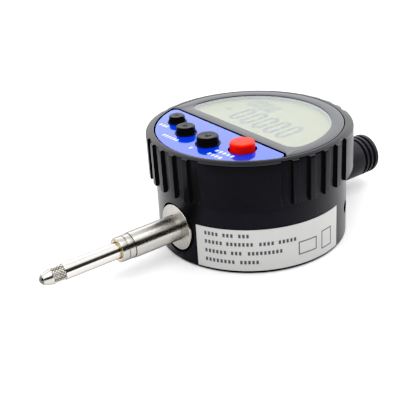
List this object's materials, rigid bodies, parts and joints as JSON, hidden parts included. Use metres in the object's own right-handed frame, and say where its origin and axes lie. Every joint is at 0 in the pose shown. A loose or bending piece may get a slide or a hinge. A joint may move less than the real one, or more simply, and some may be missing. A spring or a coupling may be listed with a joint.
{
  "type": "digital dial indicator",
  "caption": "Digital plunger indicator with a turning display head, spring-loaded spindle, round clamping stem and ball contact point.",
  "frame": {"origin": "centre of the flat back face, on the axis that the display head turns about", "axes": "+Z out of the display face, -Y down the stem to the contact point, +X to the right of the display"},
  "size_m": [0.0644, 0.1292, 0.0389],
  "materials": {
    "housing_black": "satin",
    "cover_black": "satin",
    "small_steel": "satin",
    "label_foil": "satin foil",
    "polished_steel": "polished",
    "bush_brass": "turned",
    "rubber_black": "matt",
    "collar_steel": "turned",
    "cap_black": "matt",
    "cell_steel": "satin",
    "inner_plastic": "moulded",
    "contact_strip": "plated",
    "board_green": "solder mask",
    "machined_aluminium": "milled",
    "spring_steel": "drawn wire",
    "ball_dark": "polished",
    "scale_glass": "graduated",
    "bezel_black": "satin moulded",
    "face_grey": "fine texture",
    "panel_blue": "gloss",
    "button_black": "satin",
    "button_red": "satin",
    "switch_metal": "plated",
    "zebra_rubber": "striped",
    "lcd_green": "reflective LCD",
    "window_clear": "clear",
    "flex_amber": "polyimide film"
  },
  "bodies": {
    "housing": {"housing": "housing_black", "back_cover": "cover_black", "back_cover_screws": "small_steel", "rating_label": "label_foil", "stem": "polished_steel", "stem_nut": "small_steel", "lower_bush": "bush_brass", "upper_bush": "bush_brass", "bumper_washer": "rubber_black", "cap_collar": "collar_steel", "data_port": "cover_black", "battery": "cell_steel", "battery_holder": "inner_plastic", "battery_contacts": "contact_strip", "main_pcb": "board_green", "board_components": "inner_plastic", "pcb_screws": "small_steel", "encoder_reader": "inner_plastic", "retaining_ring": "collar_steel", "retaining_screws": "small_steel", "friction_ring": "rubber_black", "guide_rail": "machined_aluminium", "return_spring": "spring_steel"},
    "display_head": {"bezel": "bezel_black", "head_base": "machined_aluminium", "head_screws": "small_steel", "stop_pin": "polished_steel", "display_chassis": "inner_plastic", "display_pcb": "board_green", "button_switches": "switch_metal", "zebra_strips": "zebra_rubber", "lcd_module": "lcd_green", "lcd_frame": "inner_plastic", "lcd_lens": "window_clear", "face_plate": "face_grey", "button_panel": "panel_blue", "button_boots": "rubber_black", "flex_cable": "flex_amber"},
    "spindle": {"spindle": "polished_steel", "contact_point": "polished_steel", "contact_ball": "ball_dark", "spindle_clamp": "machined_aluminium", "clamp_screw": "small_steel", "guide_pin": "polished_steel", "scale_carrier": "machined_aluminium", "encoder_scale": "scale_glass"},
    "spindle_cap": {"spindle_cap": "cap_black"},
    "battery_door": {"battery_door": "cover_black"},
    "button_left": {"button_left": "button_black"},
    "button_middle": {"button_middle": "button_black"},
    "button_right": {"button_right": "button_black"},
    "button_red": {"button_red": "button_red"}
  },
  "joints": [
    {"name": "head_turn", "type": "hinge", "parent": "housing", "child": "display_head", "pos_m": [0, 0, 0.0225], "axis": [0, 0, 1], "range_deg": [-90, 180]},
    {"name": "spindle_travel", "type": "slide", "parent": "housing", "child": "spindle", "axis": [0, 1, 0], "range_m": [0, 0.0127], "stiffness_N_per_m": 39, "springref_m": -0.0167, "deforming": ["return_spring"]},
    {"name": "cap_unscrew", "type": "slide", "parent": "housing", "child": "spindle_cap", "axis": [0, 1, 0], "range_m": [0, 0.016]},
    {"name": "door_turn", "type": "hinge", "parent": "housing", "child": "battery_door", "pos_m": [0.013, 0, 0.001], "axis": [0, 0, 1], "range_deg": [0, 60]},
    {"name": "press_left", "type": "slide", "parent": "display_head", "child": "button_left", "axis": [0, 0, -1], "range_m": [0, 0.0007], "stiffness_N_per_m": 1200, "springref_m": -0.0003},
    {"name": "press_middle", "type": "slide", "parent": "display_head", "child": "button_middle", "axis": [0, 0, -1], "range_m": [0, 0.0007], "stiffness_N_per_m": 1200, "springref_m": -0.0003},
    {"name": "press_right", "type": "slide", "parent": "display_head", "child": "button_right", "axis": [0, 0, -1], "range_m": [0, 0.0007], "stiffness_N_per_m": 1200, "springref_m": -0.0003},
    {"name": "press_red", "type": "slide", "parent": "display_head", "child": "button_red", "axis": [0, 0, -1], "range_m": [0, 0.0007], "stiffness_N_per_m": 1200, "springref_m": -0.0003}
  ]
}
